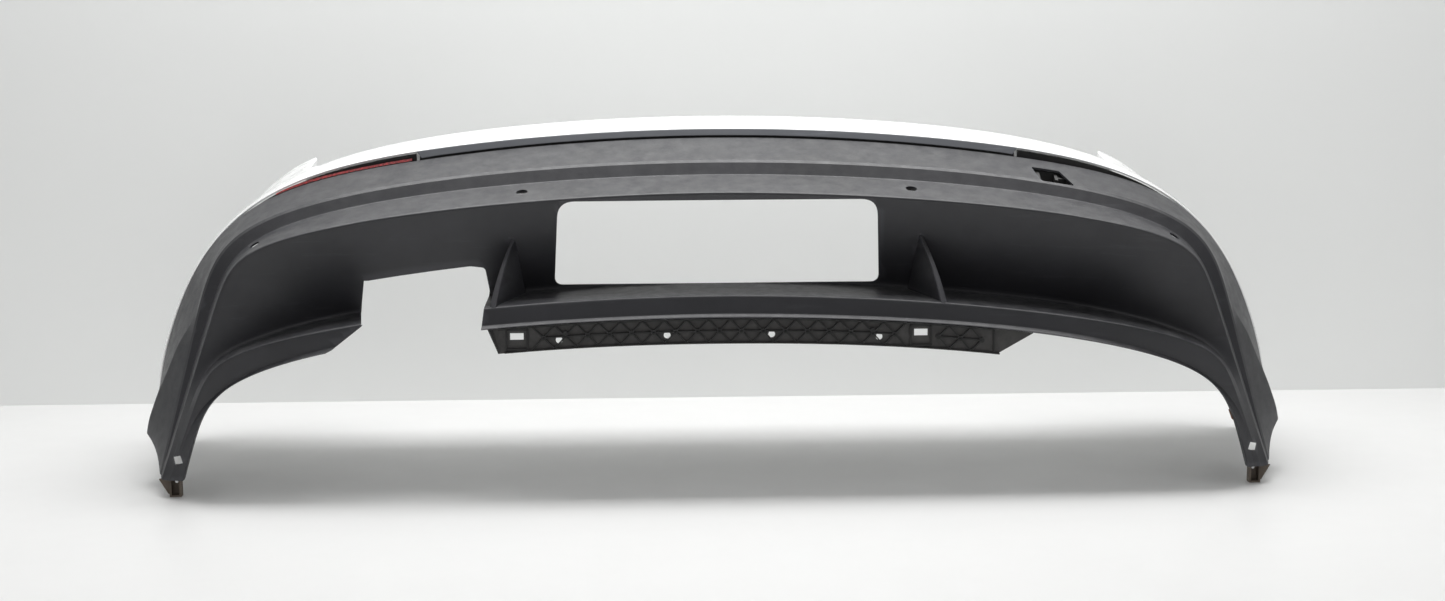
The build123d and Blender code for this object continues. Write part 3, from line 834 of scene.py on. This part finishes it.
for share in (0.03, 0.96):
    rim = [-342 + 10 * (1 - share) + 768 * k / 40 for k in range(41)]
    for x0, x1 in zip(rim, rim[1:]):
        ribs.append(between(x0, share, x1 + 0.3, share, 1.1))
ribs.append(between(-341, 0.03, -353, 0.96, 1.2))
ribs.append(between(427, 0.03, 427, 0.97, 1.2))
bm = bmesh.new()
for part in [web] + ribs:
    bm.from_mesh(part.data)
    data = part.data
    bpy.data.objects.remove(part)
    bpy.data.meshes.remove(data)
ribbed = finish_mesh("lower_ribbed_skin", bm)


# ---- materials -----------------------------------------------------------------------------
class Paint:
    """A Principled material with a few shorthands for its nodes."""

    def __init__(self, name, **sockets):
        self.material = bpy.data.materials.new(name)
        self.material.use_nodes = True
        self.tree = self.material.node_tree
        self.tree.nodes.clear()
        self.shader = self.add("BsdfPrincipled")
        out = self.add("OutputMaterial")
        self.tree.links.new(self.shader.outputs[0], out.inputs[0])
        self.place = self.add("TexCoord").outputs["Object"]
        for key, value in sockets.items():
            self.shader.inputs[key.replace("_", " ")].default_value = value

    def add(self, kind, inputs=None, **attributes):
        node = self.tree.nodes.new("ShaderNode" + kind)
        for key, value in attributes.items():
            setattr(node, key, value)
        for key, value in (inputs or {}).items():
            socket = node.inputs[key]
            if isinstance(value, bpy.types.NodeSocket):
                self.tree.links.new(value, socket)
            else:
                socket.default_value = value
        return node

    def noise(self, scale, detail=3.0, rough=0.55, stretch=(1, 1, 1), seed=0.0):
        mapped = self.add(
            "Mapping",
            {"Vector": self.place, "Scale": stretch, "Location": (seed, seed * 0.7, seed * 1.3)},
        )
        node = self.add(
            "TexNoise",
            {"Vector": mapped.outputs[0], "Scale": scale, "Detail": detail, "Roughness": rough},
        )
        return node.outputs["Fac"]

    def cells(self, scale, feature="F1"):
        node = self.add("TexVoronoi", {"Vector": self.place, "Scale": scale}, feature=feature)
        return node.outputs["Distance"]

    def fit(self, value, low, high, to_low=0.0, to_high=1.0):
        node = self.add(
            "MapRange", {0: value, 1: low, 2: high, 3: to_low, 4: to_high}, clamp=True
        )
        return node.outputs[0]

    def sum(self, operation, a, b):
        return self.add("Math", {0: a, 1: b}, operation=operation).outputs[0]

    def mix(self, factor, a, b):
        # the colours are sockets 6 and 7 and the result is output 2; the others are for other data
        node = self.add("Mix", {0: factor, 6: a, 7: b}, data_type="RGBA")
        return node.outputs[2]

    def bump(self, height, strength, distance, normal=None):
        inputs = {"Height": height, "Strength": strength, "Distance": distance}
        if normal is not None:
            inputs["Normal"] = normal
        return self.add("Bump", inputs).outputs[0]

    def upward(self):
        normal = self.add("NewGeometry").outputs["Normal"]
        return self.add("SeparateXYZ", {0: normal}).outputs[2]

    def set(self, key, value):
        self.tree.links.new(value, self.shader.inputs[key])


def grained(name, dark, light, rough, grain_size, grain, dust, dust_colour, edge_wear_and_highlight, scuffs=0.3):
    """Moulded plastic: leather grain, mottling, dust on what faces up, scuffs, and paler edges that
    are partly edge wear and partly a painted highlight.
    """
    p = Paint(name)
    p.shader.inputs["Specular IOR Level"].default_value = 0.5
    mottle = p.noise(9, 4, 0.6, seed=3.1)
    colour = p.mix(p.fit(mottle, 0.3, 0.7), dark, light)
    streak = p.noise(26, 5, 0.65, stretch=(0.25, 1.4, 3.0), seed=7.7)
    scuff = p.fit(streak, 0.60, 0.78, 0.0, scuffs)
    colour = p.mix(scuff, colour, tuple(min(1, c * 2.1 + 0.02) for c in light[:3]) + (1,))
    up = p.fit(p.upward(), 0.25, 0.95)
    fluff = p.fit(p.noise(42, 6, 0.7, seed=1.9), 0.35, 0.75)
    dusty = p.sum("MULTIPLY", p.sum("MULTIPLY", up, fluff), dust)
    colour = p.mix(dusty, colour, dust_colour)
    # paler convex edges, by pointiness: partly edge wear, partly a painted highlight along the edges
    edge = p.fit(p.add("NewGeometry").outputs["Pointiness"], 0.52, 0.60, 0.0, edge_wear_and_highlight)
    colour = p.mix(edge, colour, tuple(min(1, c * 2.6 + 0.03) for c in light[:3]) + (1,))
    p.set("Base Color", colour)
    spread = p.fit(p.noise(60, 4, 0.6, seed=5.5), 0.3, 0.7, rough - 0.05, rough + 0.07)
    p.set("Roughness", p.sum("ADD", spread, p.sum("MULTIPLY", dusty, 0.35)))
    fine = p.bump(p.cells(grain_size), grain, 0.00025)
    p.set("Normal", p.bump(p.noise(grain_size * 0.18, 4), grain * 0.5, 0.0004, fine))
    return p.material


def ribbed_black():
    """Black plastic whose sunk panels are paler than the ribs' tops: partly a film of dust, partly
    painted shade that makes the ribs read darker than the panels.
    """
    p = Paint("black_plastic_ribbed")
    across = p.add("SeparateXYZ", {0: p.place}).outputs[1]
    top = (STRIP_FRONT - RIB_DEEP - MIDDLE_Y) / 1000
    sunk = p.fit(across, top + 0.0005, top + 0.0035)
    patch = p.fit(p.noise(55, 6, 0.7, seed=3.3), 0.3, 0.7, 0.35, 1.0)
    # paler sunk panels against dark ribs: partly dust, partly painted shade on the ribs
    dust_and_painted_shade = p.sum("MULTIPLY", sunk, patch)
    p.set("Base Color", p.mix(dust_and_painted_shade, (0.011, 0.011, 0.011, 1), (0.078, 0.075, 0.073, 1)))
    p.set("Roughness", p.fit(dust_and_painted_shade, 0, 1, 0.42, 0.75))
    p.set("Normal", p.bump(p.cells(1500), 0.15, 0.00025))
    return p.material


def white_paint():
    """Clear-coated solid white, with faint orange peel and specks of grime."""
    p = Paint("white_paint", Coat_Weight=0.7, Coat_Roughness=0.05)
    tone = p.fit(p.noise(5, 3, 0.5, seed=2.2), 0.3, 0.7)
    colour = p.mix(tone, (0.86, 0.865, 0.865, 1), (0.90, 0.905, 0.90, 1))
    grime = p.fit(p.noise(70, 8, 0.75, seed=4.1), 0.66, 0.80, 0.0, 0.22)
    colour = p.mix(grime, colour, (0.55, 0.53, 0.49, 1))
    p.set("Base Color", colour)
    p.set("Roughness", p.fit(p.noise(30, 4, seed=8.8), 0.3, 0.7, 0.24, 0.34))
    p.set("Normal", p.bump(p.noise(420, 2), 0.05, 0.0005))
    return p.material


def red_lens():
    """Red reflector plastic with fine prisms, under a gloss."""
    p = Paint("red_lens", Coat_Weight=0.6, Coat_Roughness=0.06)
    ribs = p.fit(p.noise(500, 1, stretch=(1, 0.2, 1)), 0.4, 0.6)
    p.set("Base Color", p.mix(ribs, (0.12, 0.008, 0.010, 1), (0.33, 0.022, 0.024, 1)))
    p.set("Roughness", p.fit(p.noise(80, 3), 0.3, 0.7, 0.18, 0.32))
    p.set("Normal", p.bump(p.cells(520), 0.4, 0.0004))
    return p.material


def steel(name, rust):
    """Zinc-plated steel, of which rust (0 to 1) makes a share brown and dull."""
    p = Paint(name)
    patch = p.noise(150, 7, 0.7, seed=6.0)
    mask = p.fit(patch, 0.62 - 0.35 * rust, 0.70 - 0.25 * rust)
    brown = p.mix(p.fit(p.noise(500, 4), 0.3, 0.7), (0.10, 0.035, 0.014, 1), (0.30, 0.12, 0.045, 1))
    p.set("Base Color", p.mix(mask, (0.42, 0.42, 0.43, 1), brown))
    p.set("Metallic", p.fit(mask, 0, 1, 0.95, 0.1))
    p.set("Roughness", p.fit(mask, 0, 1, 0.32, 0.85))
    p.set("Normal", p.bump(patch, 0.3, 0.0006))
    return p.material


GREY_DUST = (0.34, 0.34, 0.33, 1)
MATERIALS = {
    "white_paint": white_paint(),
    "grey_grain": grained("grey_grain", (0.021, 0.021, 0.0245, 1), (0.029, 0.029, 0.034, 1),
                          0.42, 1100, 0.22, 0.16, GREY_DUST, 0.22),
    "trim_grey": grained("trim_grey", (0.120, 0.126, 0.140, 1), (0.140, 0.146, 0.160, 1),
                         0.42, 2000, 0.08, 0.08, GREY_DUST, 0.15),
    "black_plastic": grained("black_plastic", (0.008, 0.008, 0.008, 1), (0.016, 0.015, 0.015, 1),
                             0.50, 1600, 0.15, 0.14, GREY_DUST, 0.25, 0.35),
    "brown_black": grained("brown_black", (0.040, 0.032, 0.025, 1), (0.085, 0.066, 0.048, 1),
                           0.62, 900, 0.25, 0.35, (0.30, 0.26, 0.20, 1), 0.4, 0.5),
    "red_lens": red_lens(),
    "rusty_spring_steel": steel("rusty_spring_steel", 1.0),
    "zinc_steel": steel("zinc_steel", 0.15),
}


for piece, node, slot in (
    (cover, "upper_cover", "white_paint"),
    (valance, "lower_valance", "grey_grain"),
    (trim_strip, "centre_trim_strip", "trim_grey"),
    (ribbed, "lower_ribbed_strip", "black_plastic"),
):
    piece.data.materials.clear()  # the boolean cuts leave empty slots behind
    piece.data.materials.append(MATERIALS[slot])
    soften(piece, 0.0003 if piece is ribbed else 0.0006)
    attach(piece, "root")
    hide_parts(node)

ribbed.data.materials[0] = ribbed_black()
replaced = {"upper_cover", "lower_valance", "centre_trim_strip", "lower_ribbed_strip"}
for part in frame["record"]["subparts"]:
    node, slot = part["node"], part["material_slot"]
    if node in replaced:
        continue
    obj = frame["nodes"][node]
    for s in obj.material_slots:
        s.material = MATERIALS[slot]
    if not obj.material_slots:
        obj.data.materials.append(MATERIALS[slot])
    bevel(obj, 0.0004, 40)

# ---- studio --------------------------------------------------------------------------------
WALL_Y, WALL_TOP, STUDIO = 0.53, 5, 9


def plain(name, colour, rough, one_sided=False):
    """A plain studio surface; a one-sided one is clear from behind."""
    p = Paint(name)
    tone = p.fit(p.noise(1.3, 4, 0.6), 0.3, 0.7)
    shade = tuple(c * 0.985 for c in colour[:3]) + (1,)
    p.set("Base Color", p.mix(tone, shade, colour))
    p.set("Roughness", p.fit(p.noise(14, 3), 0.3, 0.7, rough - 0.05, rough + 0.05))
    if one_sided:
        clear = p.add("BsdfTransparent")
        back = p.add("NewGeometry").outputs["Backfacing"]
        both = p.add("MixShader", {0: back, 1: p.shader.outputs[0], 2: clear.outputs[0]})
        out = next(n for n in p.tree.nodes if n.type == "OUTPUT_MATERIAL")
        p.tree.links.new(both.outputs[0], out.inputs[0])
    return p.material


def sheet(name, corners, colour, rough, one_sided=False):
    mesh = bpy.data.meshes.new(name)
    mesh.from_pydata(corners, [], [(0, 1, 2, 3)])
    obj = bpy.data.objects.new(name, mesh)
    bpy.context.collection.objects.link(obj)
    mesh.materials.append(plain(name, colour, rough, one_sided))


# the wall can't be seen from behind, so that it doesn't hide the part's back
floor_corners = [
    (-STUDIO, -STUDIO, 0), (STUDIO, -STUDIO, 0), (STUDIO, STUDIO, 0), (-STUDIO, STUDIO, 0),
]
wall_corners = [
    (-STUDIO, WALL_Y, -0.01), (STUDIO, WALL_Y, -0.01), (STUDIO, WALL_Y, WALL_TOP),
    (-STUDIO, WALL_Y, WALL_TOP),
]
sheet("floor", floor_corners, (0.68, 0.68, 0.675, 1), 0.45)
sheet("wall", wall_corners, (0.89, 0.90, 0.89, 1), 0.7, one_sided=True)


def area(name, where, towards, size, power):
    """A rectangular light turned towards a point."""
    data = bpy.data.lights.new(name, "AREA")
    data.shape = "RECTANGLE"
    data.size, data.size_y = size
    data.energy = power
    obj = bpy.data.objects.new(name, data)
    bpy.context.collection.objects.link(obj)
    obj.location = where
    obj.rotation_euler = (Vector(towards) - Vector(where)).to_track_quat("-Z", "Y").to_euler()


area("overhead", (0.05, 0.08, 2.35), (0.05, 0.0, 0.3), (2.8, 0.8), 68)


def sky():
    """A world that is dim at the horizon and bright overhead."""
    world = bpy.data.worlds.new("studio")
    world.use_nodes = True
    tree = world.node_tree
    where = tree.nodes.new("ShaderNodeTexCoord")
    split = tree.nodes.new("ShaderNodeSeparateXYZ")
    level = tree.nodes.new("ShaderNodeMapRange")
    tree.links.new(where.outputs["Generated"], split.inputs[0])
    tree.links.new(split.outputs[2], level.inputs[0])
    for socket, value in (("From Min", -0.1), ("From Max", 0.9), ("To Min", 0.11), ("To Max", 0.66)):
        level.inputs[socket].default_value = value
    tree.nodes["Background"].inputs[0].default_value = (1.0, 1.0, 1.0, 1)
    tree.links.new(level.outputs[0], tree.nodes["Background"].inputs[1])
    return world


bpy.context.scene.world = sky()
bpy.context.scene.view_settings.view_transform = "Standard"

# fitted to the photograph's viewing angle
CAMERA_AT = Vector((-0.105, -3.272 - MIDDLE_Y / 1000, 0.829))
yaw, pitch, roll = radians(1.92), radians(9.0), radians(-0.31)
camera = bpy.data.cameras.new("camera")
camera.lens = 53.59
camera.sensor_width = 36.0
view = bpy.data.objects.new("camera", camera)
bpy.context.collection.objects.link(view)
ahead = Vector((sin(yaw) * cos(pitch), cos(yaw) * cos(pitch), -sin(pitch)))
across = Vector((cos(yaw), -sin(yaw), 0))
up = across.cross(ahead)
turned = across * cos(roll) + up * sin(roll)
raised = up * cos(roll) - across * sin(roll)
matrix = Matrix((turned, raised, -ahead)).transposed().to_4x4()
matrix.translation = CAMERA_AT
view.matrix_world = matrix
bpy.context.scene.camera = view
